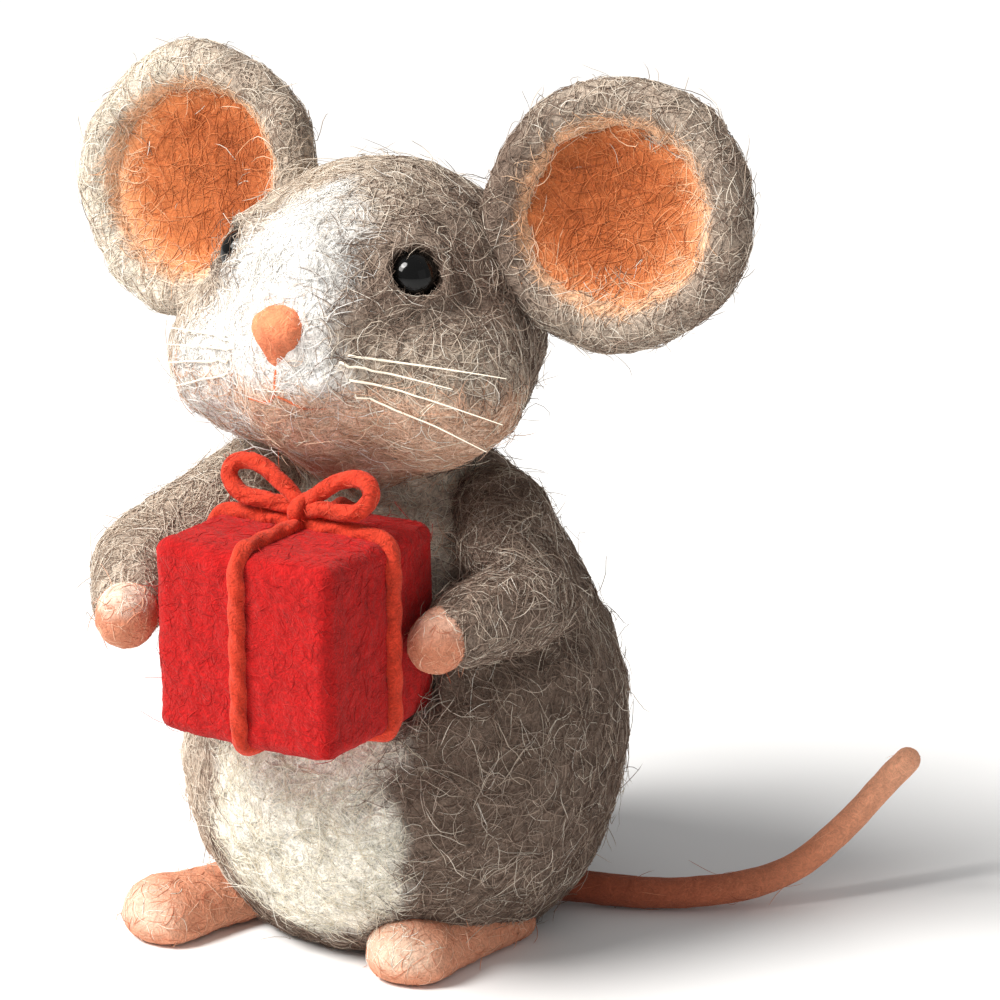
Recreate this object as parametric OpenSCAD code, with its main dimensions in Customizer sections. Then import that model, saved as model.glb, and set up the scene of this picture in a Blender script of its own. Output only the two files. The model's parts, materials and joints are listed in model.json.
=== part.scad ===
// Needle-felted mouse figure on a bent-wire armature, holding a felt gift box tied with yarn.
// Units are millimetres. The mouse faces -Y, its left side is +X, and it stands on Z = 0.
// The origin is the middle of the flat patch under the belly.

/* [Body] */
// Radius of the belly ball
belly_r = 27.75; // [27:0.25:28.5]
// Height of the belly ball's centre
belly_z = 21; // [20:0.25:21.5]
// Radius of the back ball, above and behind the belly
back_r = 24.5; // [24:0.25:25]
// Radius of the chest ball
chest_r = 17.3; // [17:0.1:17.5]
// Thickness of the coat wool over the core
coat_t = 2.5; // [2:0.25:3]
// Radius of the cream belly patch
patch_r = 16; // [14:0.5:17]

/* [Head] */
// Radius of the skull ball
skull_r = 20; // [19.5:0.25:20.5]
// Height of the skull ball's centre
skull_z = 77.5; // [77:0.25:78.5]
// Radius of each cheek ball
cheek_r = 8.5; // [8:0.25:9]
// Radius of the muzzle ball
muzzle_r = 9.5; // [9:0.25:10]
// Diameter of the nose ball
nose_d = 6.2; // [5.5:0.1:7]
// Diameter of each glass eye
eye_d = 6; // [5:0.1:6.5]
// Length of the longest whisker
whisker_l = 21; // [16:0.5:22]
// Diameter of a whisker
whisker_d = 0.5; // [0.4:0.05:0.7]

/* [Ears] */
// Outer radius of the left ear
left_ear_r = 16.5; // [16:0.1:17]
// Outer radius of the right ear, which was felted a little larger
right_ear_r = 17.6; // [17:0.1:18]
// Radius of the rolled rim round an ear
ear_rim_r = 2.2; // [2:0.1:2.6]
// Thickness of the orange lining
lining_t = 1.2; // [1:0.1:1.6]

/* [Limbs] */
// Radius of the shoulder ball
shoulder_r = 5.6; // [5.2:0.1:5.8]
// Radius of the elbow ball
elbow_r = 5.2; // [4.8:0.1:5.3]
// Radius of the wrist
wrist_r = 3.7; // [3.4:0.1:3.9]
// Radius of the hand ball
hand_r = 3.7; // [3.4:0.1:3.8]
// Radius of a foot, which is a rod with round ends cut flat by the floor
foot_r = 5.3; // [5:0.1:5.5]
// Height of a foot's axis above the floor
foot_z = 2.1; // [1.8:0.1:2.4]

/* [Tail] */
// Diameter of the tail where it leaves the body
tail_d = 4.2; // [3.8:0.1:4.3]
// Diameter of the tail at its tip
tail_tip_d = 3.4; // [3:0.1:3.6]

/* [Gift] */
// Width of the gift, across the mouse
gift_w = 24.9; // [24:0.1:25]
// Depth of the gift, front to back
gift_d = 23.8; // [22.8:0.1:24]
// Height of the gift
gift_h = 24; // [23:0.1:24.2]
// Rounding of the gift's edges
gift_round = 1.6; // [1:0.1:2.2]
// Thickness of the red felt round the gift's block
wrap_t = 1.5; // [1.2:0.1:2]
// Diameter of the yarn
yarn_d = 2.1; // [1.9:0.1:2.2]

/* [Armature] */
// Diameter of the wire in the neck and the spine
spine_d = 1.6; // [1.2:0.1:2]
// Diameter of the wire in the arms
arm_wire_d = 1.2; // [0.9:0.1:1.4]
// Diameter of the wire in the tail
tail_wire_d = 0.9; // [0.8:0.1:1]
// Radius of the neck ball
neck_r = 9.9; // [9.7:0.1:10]
// Gap between pieces that move against each other
gap = 0.4; // [0.35:0.05:0.5]

/* [Hidden] */
$fn = 64;

wire_fit = 0.04;         // radial clearance of a wire in its wool
bore_over = 0.1;         // how far a wire's bore runs past the wire
seam = 0.02;             // radial clearance between a set-in ball and its pocket
waist = 0.97;            // a limb's rod is this much slimmer than the balls at its ends
facet_fn = 24;           // fineness of the rounded box
fine_fn = 200;           // fineness where the thin stitches lie in the head

// Balls that make up the body and the head: centre, radius.
belly = [[0, 0, belly_z], belly_r];
back = [[0, 5, 28], back_r];
chest = [[0, 4, 44], chest_r];
skull = [[0, -4, skull_z], skull_r];
muzzle = [[0, -17, 76], muzzle_r];
cheek_at = [15, -12.5, 73.3];

// Places of the joints and of what the limbs end in.
neck_at = [0, 0.3, 59.4];
left_shoulder = [15.8, -2, 54.4];
left_elbow = [22.7, -9, 46.8];
left_hand_at = [18.9, -20.8, 44.7];
right_shoulder = [-16.5, -6, 55.5];
right_elbow = [-24.3, -21, 47.6];
right_hand_at = [-16.1, -35.8, 46.2];
spine_ends = [[0, 1, 4], [0, 1, 47]];
tail_root = [19, 9.4, 2.6];
tail_bend_1 = [33, 15.6, 2.3];
tail_bend_2 = [44.2, 25.2, 5.2];
tail_tip = [54.2, 35.2, 18];
tail_radii = [for (i = [0:3]) tail_d / 2 + (tail_tip_d - tail_d) / 2 * i / 3];

// Radii of the pockets that the shoulders and the tail's root turn in.
left_shoulder_pocket = 8;
right_shoulder_pocket = 6;
tail_pocket = 3.5;
tail_bore_at = 0.9;      // how far along each stretch of the tail its bore starts

// Feet: heel, ball of the foot.
left_foot_line = [[16.3, -4, foot_z], [13.4, -20, foot_z]];
right_foot_line = [[-14, -10, foot_z], [-20, -25.3, foot_z]];

// Face.
face_r = 13;             // radius of the white wool round the nose
eye_at = [12, -15.6, 86.8];
nose_at = [0, -25.6, 80.2];
whisker_root = [6.3, -23.2, 77.2];
stitch_r = 0.4;
eye_wire_r = 0.4;
eye_wire_l = 6;

// Ears: middle of the ear, and how far it turns to the mouse's left and upward from facing -Y.
left_ear_at = [30.5, 0, 93.3];
left_ear_turn = 10;
right_ear_at = [-29.8, 0, 91.2];
right_ear_turn = 0;
ear_up = 8;
ear_back_t = 2.6;        // thickness of the dish behind the lining

// Gift: its middle, its core, and where the yarn crosses.
gift_at = [2, -26.4, 45.1];
block = [gift_w - 2 * wrap_t, gift_d - 2 * wrap_t, gift_h - 2 * wrap_t];
yarn_r = yarn_d / 2;
yarn_sunk = 0.35;        // how far the yarn's axis stands off the felt, as a part of its radius
cross_y = 1.5;           // the side-to-side yarn lies this far behind the gift's middle
gift_gap = 1.8;          // room round the gift, which its yarn needs as it slides out
knot_r = 1.9;
knot_up = 2.1;           // height of the knot's centre above the gift
loop_r = 2.2;
loop_l = 8.3;
loop_rise = 18;          // angle at which the loops stand up from the knot
strand_z = 0.7;          // height in the knot at which the strands of a loop leave it

// Radii of the wires.
spine_r = spine_d / 2;
arm_wire_r = arm_wire_d / 2;
tail_wire_r = tail_wire_d / 2;

// Places children at a, with their Z axis towards b.
module along(a, b) {
    d = b - a;
    translate(a) rotate([0, acos(d.z / norm(d)), atan2(d.y, d.x)]) children();
}

// A round rod from a to b, which may taper.
module rod(a, b, r1, r2) {
    along(a, b) cylinder(h = norm(b - a), r1 = r1, r2 = r2);
}

// A slightly slimmer rod with a ball at each end.
module limb(a, b, r1, r2) {
    along(a, b) {
        cylinder(h = norm(b - a), r1 = waist * r1, r2 = waist * r2);
        sphere(r = r1);
        translate([0, 0, norm(b - a)]) sphere(r = r2);
    }
}

// The balls of a list, each grown by g.
module balls(list, g) {
    for (ball = list) {
        translate(ball[0]) sphere(r = ball[1] + g);
    }
}

// A wire along the line from a to b, kept inside by t at both ends.
module wire(a, b, t, r) {
    u = (b - a) / norm(b - a);
    rod(a + t * u, b - t * u, r, r);
}

// Everything below the floor, to cut the figure flat.
module below_floor() {
    translate([-100, -100, -60]) cube([200, 200, 60]);
}

// ---- Body ----

module torso_form(g) {
    balls([belly, back, chest], g);
}

// A level rod with a ball at each end, whose poles stay upright.
module foot_form(line) {
    rod(line[0], line[1], waist * foot_r, waist * foot_r);
    translate(line[0]) sphere(r = foot_r);
    translate(line[1]) sphere(r = foot_r);
}

// The upright round pocket that the tail turns in.
module tail_room() {
    translate([tail_root.x, tail_root.y, -1])
        cylinder(h = 1 + tail_root.z + tail_radii[0] + gap, r = tail_pocket);
}

// What the body leaves room for: feet, neck ball, gift, shoulders and tail.
module torso_room() {
    foot_form(left_foot_line);
    foot_form(right_foot_line);
    translate(neck_at) sphere(r = neck_r + gap);
    translate(gift_at) cube([gift_w, gift_d, gift_h] + 2 * gift_gap * [1, 1, 1], center = true);
    translate(left_shoulder) sphere(r = left_shoulder_pocket);
    translate(right_shoulder) sphere(r = right_shoulder_pocket);
    tail_room();
    below_floor();
}

// The front of the body that the cream wool covers, from the feet up to the gift.
module patch_region() {
    translate([1, 0, belly_z - 2]) rotate([90, 0, 0]) cylinder(h = 60, r = patch_r);
}

module torso_core() {
    color("tan") difference() {
        torso_form(-coat_t);
        torso_room();
        wire(spine_ends[0], spine_ends[1], -bore_over, spine_r + wire_fit);
    }
}

module torso_coat() {
    color("#8d7f78") difference() {
        torso_form(0);
        torso_form(-coat_t);
        patch_region();
        torso_room();
    }
}

module belly_patch() {
    color("#efe6d2") difference() {
        intersection() {
            torso_form(0);
            patch_region();
        }
        torso_form(-coat_t);
        torso_room();
    }
}

module spine_wire() {
    color("silver") wire(spine_ends[0], spine_ends[1], 0, spine_r);
}

module foot(line) {
    color("#e6a184") difference() {
        foot_form(line);
        below_floor();
    }
}

module left_foot() {
    foot(left_foot_line);
}

module right_foot() {
    foot(right_foot_line);
}

// ---- Neck ----

module neck_axis_wire(r, t) {
    wire(neck_at - [0, 0, neck_r - 1], neck_at + [0, 0, neck_r - 1], t, r);
}

module neck_ball() {
    color("#a3948a") difference() {
        translate(neck_at) sphere(r = neck_r);
        neck_axis_wire(spine_r + wire_fit, -bore_over);
    }
}

module neck_wire() {
    color("silver") neck_axis_wire(spine_r, 0);
}

// ---- Head ----

module head_form(g) {
    balls([skull, muzzle], g);
    translate(cheek_at) sphere(r = cheek_r + g);
    mirror([1, 0, 0]) translate(cheek_at) sphere(r = cheek_r + g);
}

module eye(side, g) {
    translate([side * eye_at.x, eye_at.y, eye_at.z]) sphere(r = eye_d / 2 + g);
}

// The wire on the back of an eye, which runs in towards the middle of the skull.
module eye_wire(side, g, more) {
    centre = [side * eye_at.x, eye_at.y, eye_at.z];
    u = (skull[0] - centre) / norm(skull[0] - centre);
    start = centre + (eye_d / 2 + seam) * u;
    rod(start, start + (eye_wire_l + more) * u, eye_wire_r + g, eye_wire_r + g);
}

// What the head leaves room for: neck ball, eyes and nose.
module head_room() {
    translate(neck_at) sphere(r = neck_r + gap);
    eye(1, seam);
    eye(-1, seam);
    translate(nose_at) sphere(r = nose_d / 2 + seam);
}

module face_region() {
    translate([0, -12, skull_z - 4]) rotate([90, 0, 0]) cylinder(h = 30, r = face_r);
}

module head_core() {
    color("tan") difference() {
        head_form(-coat_t);
        head_room();
        eye_wire(1, wire_fit, bore_over);
        eye_wire(-1, wire_fit, bore_over);
    }
}

module head_coat() {
    color("#978a82") difference() {
        head_form(0);
        head_form(-coat_t);
        face_region();
        head_room();
    }
}

module face_patch() {
    color("#f4f2ee") difference() {
        intersection() {
            head_form(0);
            face_region();
        }
        head_form(-coat_t);
        head_room();
    }
}

module nose() {
    color("#e07f62") translate(nose_at) sphere(r = nose_d / 2);
}

// A point on the muzzle: a degrees to the side of straight ahead, e degrees up.
function on_muzzle(a, e) = muzzle[0] + muzzle[1] * [sin(a) * cos(e), -cos(a) * cos(e), sin(e)];

// The line under the nose and the two halves of the mouth.
module mouth_stitches() {
    $fn = fine_fn;
    parting = on_muzzle(0, -14);
    color("#b5604e") difference() {
        union() {
            limb(on_muzzle(0, 4), parting, stitch_r, stitch_r);
            limb(parting, on_muzzle(24, -22), stitch_r, stitch_r);
            limb(parting, on_muzzle(-24, -22), stitch_r, stitch_r);
        }
        head_form(0);
        head_room();
    }
}

module left_eye() {
    color("#141012") eye(1, 0);
}

module right_eye() {
    color("#141012") eye(-1, 0);
}

module left_eye_wire() {
    color("silver") eye_wire(1, 0, 0);
}

module right_eye_wire() {
    color("silver") eye_wire(-1, 0, 0);
}

// Places an ear's own frame, whose Z axis points out of the dish.
module at_ear(place, turn) {
    translate(place) rotate([90 - ear_up, 0, turn]) children();
}

// A round dish with a rolled rim, trimmed to the head.
module ear(place, turn, r) {
    color("#a2958c") difference() {
        at_ear(place, turn) rotate_extrude() {
            translate([r - ear_rim_r, 0]) circle(r = ear_rim_r);
            translate([0, -ear_rim_r]) square([r - ear_rim_r, ear_back_t]);
        }
        head_form(0);
    }
}

// The disc of orange wool inside the rim.
module ear_lining(place, turn, r) {
    lining_r = r - 2 * ear_rim_r - seam;
    color("#d98a58") difference() {
        at_ear(place, turn) translate([0, 0, ear_back_t - ear_rim_r]) cylinder(h = lining_t, r = lining_r);
        head_form(0);
    }
}

module left_ear() {
    ear(left_ear_at, left_ear_turn, left_ear_r);
}

module right_ear() {
    ear(right_ear_at, right_ear_turn, right_ear_r);
}

module left_ear_lining() {
    ear_lining(left_ear_at, left_ear_turn, left_ear_r);
}

module right_ear_lining() {
    ear_lining(right_ear_at, right_ear_turn, right_ear_r);
}

// Four bristles that fan out from the cheek: length as a part of the longest, turn back, droop.
module left_whiskers() {
    fan = [[1, 8, 0], [0.7, 4, 4], [1, 6, 11], [0.95, 4, 19]];
    color("#efe6cf") difference() {
        for (i = [0:len(fan) - 1]) {
            root = whisker_root + [0, 0.3 * i, 0.9 - 0.7 * i];
            way = [cos(fan[i][1]) * cos(fan[i][2]), sin(fan[i][1]) * cos(fan[i][2]), -sin(fan[i][2])];
            rod(root, root + fan[i][0] * whisker_l * way, whisker_d / 2, whisker_d / 2);
        }
        head_form(0);
    }
}

module right_whiskers() {
    mirror([1, 0, 0]) left_whiskers();
}

// ---- Arms ----

module upper_arm(shoulder, elbow, hand) {
    color("#9a8d84") difference() {
        union() {
            translate(shoulder) sphere(r = shoulder_r);
            rod(shoulder, elbow, waist * shoulder_r, waist * elbow_r);
        }
        translate(elbow) sphere(r = elbow_r + gap);
        rod(elbow, hand, waist * elbow_r + gap, waist * wrist_r + gap);
        wire(shoulder, elbow, -bore_over, arm_wire_r + wire_fit);
    }
}

// The bone wire of an upper arm, which stops short of the elbow ball.
module upper_arm_wire(shoulder, elbow) {
    u = (elbow - shoulder) / norm(elbow - shoulder);
    color("silver") rod(shoulder, elbow - (elbow_r + 2 * gap) * u, arm_wire_r, arm_wire_r);
}

module forearm(elbow, hand) {
    color("#a3968d") difference() {
        limb(elbow, hand, elbow_r, wrist_r);
        translate(hand) sphere(r = hand_r + seam);
        wire(elbow, hand, -bore_over, arm_wire_r + wire_fit);
    }
}

module forearm_wire(elbow, hand) {
    u = (hand - elbow) / norm(hand - elbow);
    color("silver") rod(elbow, hand - (hand_r + seam) * u, arm_wire_r, arm_wire_r);
}

module hand(place) {
    color("#e8a386") translate(place) sphere(r = hand_r);
}

module left_upper_arm() {
    upper_arm(left_shoulder, left_elbow, left_hand_at);
}

module left_upper_arm_wire() {
    upper_arm_wire(left_shoulder, left_elbow);
}

module left_forearm() {
    forearm(left_elbow, left_hand_at);
}

module left_forearm_wire() {
    forearm_wire(left_elbow, left_hand_at);
}

module left_hand() {
    hand(left_hand_at);
}

module right_upper_arm() {
    upper_arm(right_shoulder, right_elbow, right_hand_at);
}

module right_upper_arm_wire() {
    upper_arm_wire(right_shoulder, right_elbow);
}

module right_forearm() {
    forearm(right_elbow, right_hand_at);
}

module right_forearm_wire() {
    forearm_wire(right_elbow, right_hand_at);
}

module right_hand() {
    hand(right_hand_at);
}

// ---- Tail ----

// A stretch of the tail from the ball at a up to the ball of the next stretch at b, bored for its wire.
module tail_link(a, b, r1, r2) {
    l = norm(b - a);
    along(a, b) difference() {
        union() {
            sphere(r = r1);
            cylinder(h = l, r1 = waist * r1, r2 = waist * r2);
        }
        translate([0, 0, l]) sphere(r = r2 + gap);
        translate([0, 0, tail_bore_at]) cylinder(h = l, r = tail_wire_r + wire_fit);
    }
}

// The wire of a stretch, which stops short of the next stretch's ball.
module tail_link_wire(a, b) {
    u = (b - a) / norm(b - a);
    color("silver") rod(a + u, b - 3 * u, tail_wire_r, tail_wire_r);
}

module tail_base() {
    color("#a05a44") tail_link(tail_root, tail_bend_1, tail_radii[0], tail_radii[1]);
}

module tail_base_wire() {
    tail_link_wire(tail_root, tail_bend_1);
}

module tail_middle() {
    color("#bb6d50") tail_link(tail_bend_1, tail_bend_2, tail_radii[1], tail_radii[2]);
}

module tail_middle_wire() {
    tail_link_wire(tail_bend_1, tail_bend_2);
}

module tail_end() {
    color("#e08c66") difference() {
        limb(tail_bend_2, tail_tip, tail_radii[2], tail_radii[3]);
        wire(tail_bend_2, tail_tip, tail_bore_at, tail_wire_r + wire_fit);
    }
}

module tail_end_wire() {
    color("silver") wire(tail_bend_2, tail_tip, 1, tail_wire_r);
}

// ---- Gift ----

module gift_block() {
    color("#c8b48c") translate(gift_at) cube(block, center = true);
}

module gift_outside() {
    corner = [gift_w, gift_d, gift_h] / 2 - gift_round * [1, 1, 1];
    translate(gift_at) hull() {
        for (x = [-1, 1], y = [-1, 1], z = [-1, 1]) {
            translate([x * corner.x, y * corner.y, z * corner.z]) sphere(r = gift_round, $fn = facet_fn);
        }
    }
}

// A loop of yarn round a w by h box in the XZ plane, its axis a little proud of the box.
module yarn_round(w, h, r) {
    off = yarn_sunk * yarn_r;
    x = w / 2 + off;
    z = h / 2 + off;
    corners = [[-x, 0, -z], [x, 0, -z], [x, 0, z], [-x, 0, z]];
    for (i = [0:3]) {
        limb(corners[i], corners[(i + 1) % 4], r, r);
    }
}

module front_to_back_yarn(r) {
    translate(gift_at) rotate([0, 0, 90]) yarn_round(gift_d, gift_h, r);
}

module side_to_side_yarn(r) {
    translate(gift_at + [0, cross_y, 0]) yarn_round(gift_w, gift_h, r);
}

module knot_form(r) {
    translate(gift_at + [0, cross_y, gift_h / 2 + knot_up]) sphere(r = r);
}

module gift_wrap() {
    color("#c9201c") difference() {
        gift_outside();
        translate(gift_at) cube(block, center = true);
        front_to_back_yarn(yarn_r);
        side_to_side_yarn(yarn_r);
    }
}

// The half of space above the gift's middle, or below it.
module half(side) {
    translate(gift_at + [0, 0, side * gift_h]) cube(2 * gift_h, center = true);
}

// The two rounds of yarn cross under the knot and again under the gift, and each is cut at one crossing.
module ribbon_front_to_back() {
    color("#e8482a") difference() {
        front_to_back_yarn(yarn_r);
        intersection() {
            side_to_side_yarn(yarn_r);
            half(1);
        }
        knot_form(knot_r);
    }
}

module ribbon_side_to_side() {
    color("#e8482a") difference() {
        side_to_side_yarn(yarn_r);
        intersection() {
            front_to_back_yarn(yarn_r);
            half(-1);
        }
        knot_form(knot_r);
    }
}

module bow_knot() {
    color("#e8482a") knot_form(knot_r);
}

// One bow loop along +X from the knot: two strands and a half ring, clear of the yarn below.
module bow_loop() {
    rotate([0, -loop_rise, 0]) {
        for (side = [-1, 1]) {
            rod([0, 0, strand_z], [loop_l, 0, side * loop_r], yarn_r, yarn_r);
            translate([loop_l, 0, side * loop_r]) sphere(r = yarn_r / waist);
        }
        translate([loop_l, 0, 0])
            rotate([90, 0, 0])
                rotate([0, 0, -90])
                    rotate_extrude(angle = 180) translate([loop_r, 0]) circle(r = yarn_r);
    }
}

module left_bow_loop() {
    color("#e8482a") difference() {
        translate(gift_at + [0, cross_y, gift_h / 2 + knot_up]) bow_loop();
        knot_form(knot_r);
    }
}

module right_bow_loop() {
    color("#e8482a") difference() {
        translate(gift_at + [0, cross_y, gift_h / 2 + knot_up]) mirror([1, 0, 0]) bow_loop();
        knot_form(knot_r);
    }
}

torso_core();
torso_coat();
belly_patch();
spine_wire();
left_foot();
right_foot();
neck_ball();
neck_wire();
head_core();
head_coat();
face_patch();
nose();
mouth_stitches();
left_eye();
right_eye();
left_eye_wire();
right_eye_wire();
left_ear();
right_ear();
left_ear_lining();
right_ear_lining();
left_whiskers();
right_whiskers();
left_upper_arm();
left_upper_arm_wire();
left_forearm();
left_forearm_wire();
left_hand();
right_upper_arm();
right_upper_arm_wire();
right_forearm();
right_forearm_wire();
right_hand();
tail_base();
tail_base_wire();
tail_middle();
tail_middle_wire();
tail_end();
tail_end_wire();
gift_block();
gift_wrap();
ribbon_front_to_back();
ribbon_side_to_side();
bow_knot();
left_bow_loop();
right_bow_loop();
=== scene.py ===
"""A needle-felted wool mouse with a felt gift box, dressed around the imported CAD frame.

Shapes are worked out in millimetres as distance fields (soft unions of balls, rods and boxes) and
turned into meshes in metres. Wool is a felted skin with thousands of fine closed fibre tubes on it.
"""
import json
import math

import bmesh
import bpy
import numpy as np
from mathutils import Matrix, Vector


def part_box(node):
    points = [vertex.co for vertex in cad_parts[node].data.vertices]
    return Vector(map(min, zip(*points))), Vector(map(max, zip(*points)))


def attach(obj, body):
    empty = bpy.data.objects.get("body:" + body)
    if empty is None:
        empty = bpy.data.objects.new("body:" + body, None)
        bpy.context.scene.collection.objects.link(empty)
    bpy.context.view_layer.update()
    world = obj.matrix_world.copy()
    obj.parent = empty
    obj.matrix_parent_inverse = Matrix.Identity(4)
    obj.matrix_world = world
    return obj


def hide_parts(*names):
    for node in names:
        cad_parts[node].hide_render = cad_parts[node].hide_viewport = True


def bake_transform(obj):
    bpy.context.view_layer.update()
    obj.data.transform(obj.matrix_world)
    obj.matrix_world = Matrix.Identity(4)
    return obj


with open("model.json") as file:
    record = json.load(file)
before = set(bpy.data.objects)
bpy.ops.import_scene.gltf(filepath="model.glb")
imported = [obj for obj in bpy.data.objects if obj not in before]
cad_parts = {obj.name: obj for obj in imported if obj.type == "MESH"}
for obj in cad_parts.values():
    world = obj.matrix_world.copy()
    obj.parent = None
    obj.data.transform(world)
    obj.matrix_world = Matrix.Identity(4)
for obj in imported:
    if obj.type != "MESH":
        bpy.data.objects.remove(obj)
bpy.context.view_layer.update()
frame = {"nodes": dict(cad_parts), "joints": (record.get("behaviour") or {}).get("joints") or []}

MM = 0.001
RNG = np.random.default_rng(20)
SIDES = ("left", "right")
UP = np.array([0.0, 0.0, 1.0])


# ---------------------------------------------------------------- places, from the frame

def low_high(node):
    """The lowest and highest corners of a CAD node, in millimetres."""
    low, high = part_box(node)
    return np.array(low) / MM, np.array(high) / MM


def centre(node):
    """The middle of a CAD node's box, in millimetres."""
    low, high = low_high(node)
    return (low + high) / 2


def joint_at(name):
    """The point that a hinge turns about, in millimetres."""
    for joint in frame["joints"]:
        if joint["name"] == name:
            return np.array(joint["pos_m"]) / MM
    raise KeyError(name)


def unit(v):
    v = np.asarray(v, float)
    return v / np.linalg.norm(v)


NECK = joint_at("head_nod")
BELLY_R = (low_high("torso_coat")[1][0] - low_high("torso_coat")[0][0]) / 2
SKULL_TOP = low_high("head_coat")[1][2]
EYES = {"left": centre("left_eye"), "right": centre("right_eye")}
EYE_R = (low_high("left_eye")[1][0] - low_high("left_eye")[0][0]) / 2
NOSE = centre("nose")
GIFT = centre("gift_wrap")
GIFT_HALF = (low_high("gift_wrap")[1] - low_high("gift_wrap")[0]) / 2
YARN_R = (low_high("ribbon_front_to_back")[1][0] - low_high("ribbon_front_to_back")[0][0]) / 2
KNOT = centre("bow_knot")
SHOULDER = {s: joint_at(s + "_shoulder_swing") for s in SIDES}
ELBOW = {s: joint_at(s + "_elbow_bend") for s in SIDES}
HAND = {s: centre(s + "_hand") for s in SIDES}
TAIL = [joint_at("tail_sweep"), joint_at("tail_middle_bend"), joint_at("tail_end_bend")]
TAIL_TIP_R = 1.6
TAIL.append(low_high("tail_end")[1] - TAIL_TIP_R)


# ---------------------------------------------------------------- camera, light and floor

LIT_MIDDLE = np.array([0, 0, 0.055])


def link(obj):
    bpy.context.scene.collection.objects.link(obj)


def add_camera(place, azimuth, elevation, lens):
    """A camera at a point, in millimetres, that looks along a bearing, in degrees."""
    data = bpy.data.cameras.new("camera")
    data.lens = lens
    data.sensor_width = 36
    data.clip_start = 0.01
    data.clip_end = 20
    camera = bpy.data.objects.new("camera", data)
    camera.location = [c * MM for c in place]
    camera.rotation_euler = (math.radians(90 - elevation), 0, math.radians(azimuth))
    link(camera)
    bpy.context.scene.camera = camera


def add_light(name, kind, bearing, height, power, colour):
    """A light that shines from an angle, in degrees; bearing 0 is in front of the figure."""
    data = bpy.data.lights.new(name, kind)
    data.energy = power
    data.color = colour
    light = bpy.data.objects.new(name, data)
    light.rotation_euler = (math.radians(90 - height), 0, math.radians(bearing))
    link(light)
    return light


def add_area_light(name, bearing, height, distance, size, power, colour):
    """A soft square light that shines on the middle of the figure."""
    light = add_light(name, "AREA", bearing, height, power, colour)
    light.data.size = size
    a, e = math.radians(bearing), math.radians(height)
    away = np.array([math.sin(a) * math.cos(e), -math.cos(a) * math.cos(e), math.sin(e)])
    light.location = away * distance + LIT_MIDDLE


def add_sun(bearing, height, strength, spread):
    """A wide soft light from far away, which lights the floor evenly."""
    sun = add_light("sky_window", "SUN", bearing, height, strength, (1.0, 0.98, 0.95))
    sun.data.angle = math.radians(spread)


def add_studio():
    add_camera((232.9, -363.5, 181.5), 31, 16.5, 129.6)
    world = bpy.data.worlds.new("studio")
    world.use_nodes = True
    sky = world.node_tree.nodes["Background"]
    sky.inputs["Color"].default_value = (1, 1, 1, 1)
    sky.inputs["Strength"].default_value = 0.36
    bpy.context.scene.world = world
    add_area_light("key", -38, 40, 0.55, 0.22, 1.9, (1.0, 0.97, 0.93))
    add_area_light("fill", 75, 20, 0.8, 0.5, 0.15, (1.0, 0.98, 0.96))
    add_sun(-40, 52, 3.15, 24)
    bpy.context.scene.view_settings.view_transform = "Standard"
    mesh = bpy.data.meshes.new("floor")
    far = 6.0
    corners = [(-far, -far, 0), (far, -far, 0), (far, far, 0), (-far, far, 0)]
    mesh.from_pydata(corners, [], [(0, 1, 2, 3)])
    floor = bpy.data.objects.new("floor", mesh)
    link(floor)
    pale = bpy.data.materials.new("pale_floor")
    pale.use_nodes = True
    shader = pale.node_tree.nodes["Principled BSDF"]
    shader.inputs["Base Color"].default_value = (0.93, 0.93, 0.93, 1)
    shader.inputs["Roughness"].default_value = 0.9
    mesh.materials.append(pale)


add_studio()


# ---------------------------------------------------------------- distance fields

def ball(p, c, r):
    return np.linalg.norm(p - np.asarray(c), axis=-1) - r


def share_along(p, a, b):
    """How far each point is along the line from a to b: 0 at a and 1 at b."""
    d = b - a
    return ((p - a) @ d) / (d @ d)


def rod(p, a, b, ra, rb):
    """A round rod from a to b that tapers from ra to rb."""
    a, b = np.asarray(a, float), np.asarray(b, float)
    t = np.clip(share_along(p, a, b), 0, 1)
    return np.linalg.norm(p - a - t[:, None] * (b - a), axis=-1) - (ra + (rb - ra) * t)


def block(p, c, half, r):
    """A box with rounded edges."""
    q = np.abs(p - c) - (half - r)
    outside = np.linalg.norm(np.maximum(q, 0), axis=-1)
    return outside + np.minimum(q.max(axis=-1), 0) - r


def soft_union(a, b, k):
    h = np.clip(0.5 + 0.5 * (b - a) / k, 0, 1)
    return b * (1 - h) + a * h - k * h * (1 - h)


def soft_cut(a, b, k):
    """a with b taken out of it."""
    return -soft_union(-a, b, k)


def path_field(p, path, radii):
    """A tube along a list of points."""
    best = np.full(len(p), np.inf)
    for i in range(len(path) - 1):
        best = np.minimum(best, rod(p, path[i], path[i + 1], radii[i], radii[i + 1]))
    return best


WAVES = 14
WAVE_SETS = {}


def lumps(p, size):
    """Smooth unevenness, mostly between -1 and 1, with bumps of about this size in millimetres."""
    if size not in WAVE_SETS:
        rng = np.random.default_rng(1000 + int(size * 100))
        ways = rng.normal(size=(WAVES, 3))
        rates = rng.uniform(0.6, 1.5, WAVES) * 2 * math.pi / (2 * size)
        ways *= (rates / np.linalg.norm(ways, axis=1))[:, None]
        WAVE_SETS[size] = (ways, rng.uniform(0, 2 * math.pi, WAVES))
    ways, phases = WAVE_SETS[size]
    return np.sin(p @ ways.T + phases).sum(axis=1) / 5.0


def felted(p, d, amount=1.0):
    """Adds the uneven surface of hand felting to a field."""
    return d - amount * (0.32 * lumps(p, 4.5) + 0.13 * lumps(p, 1.5))


def gradient(field, p, e=0.04):
    out = np.empty_like(p)
    for axis in range(3):
        step = np.zeros(3)
        step[axis] = e
        out[:, axis] = field(p + step) - field(p - step)
    return out / np.maximum(np.linalg.norm(out, axis=1), 1e-9)[:, None]


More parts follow.
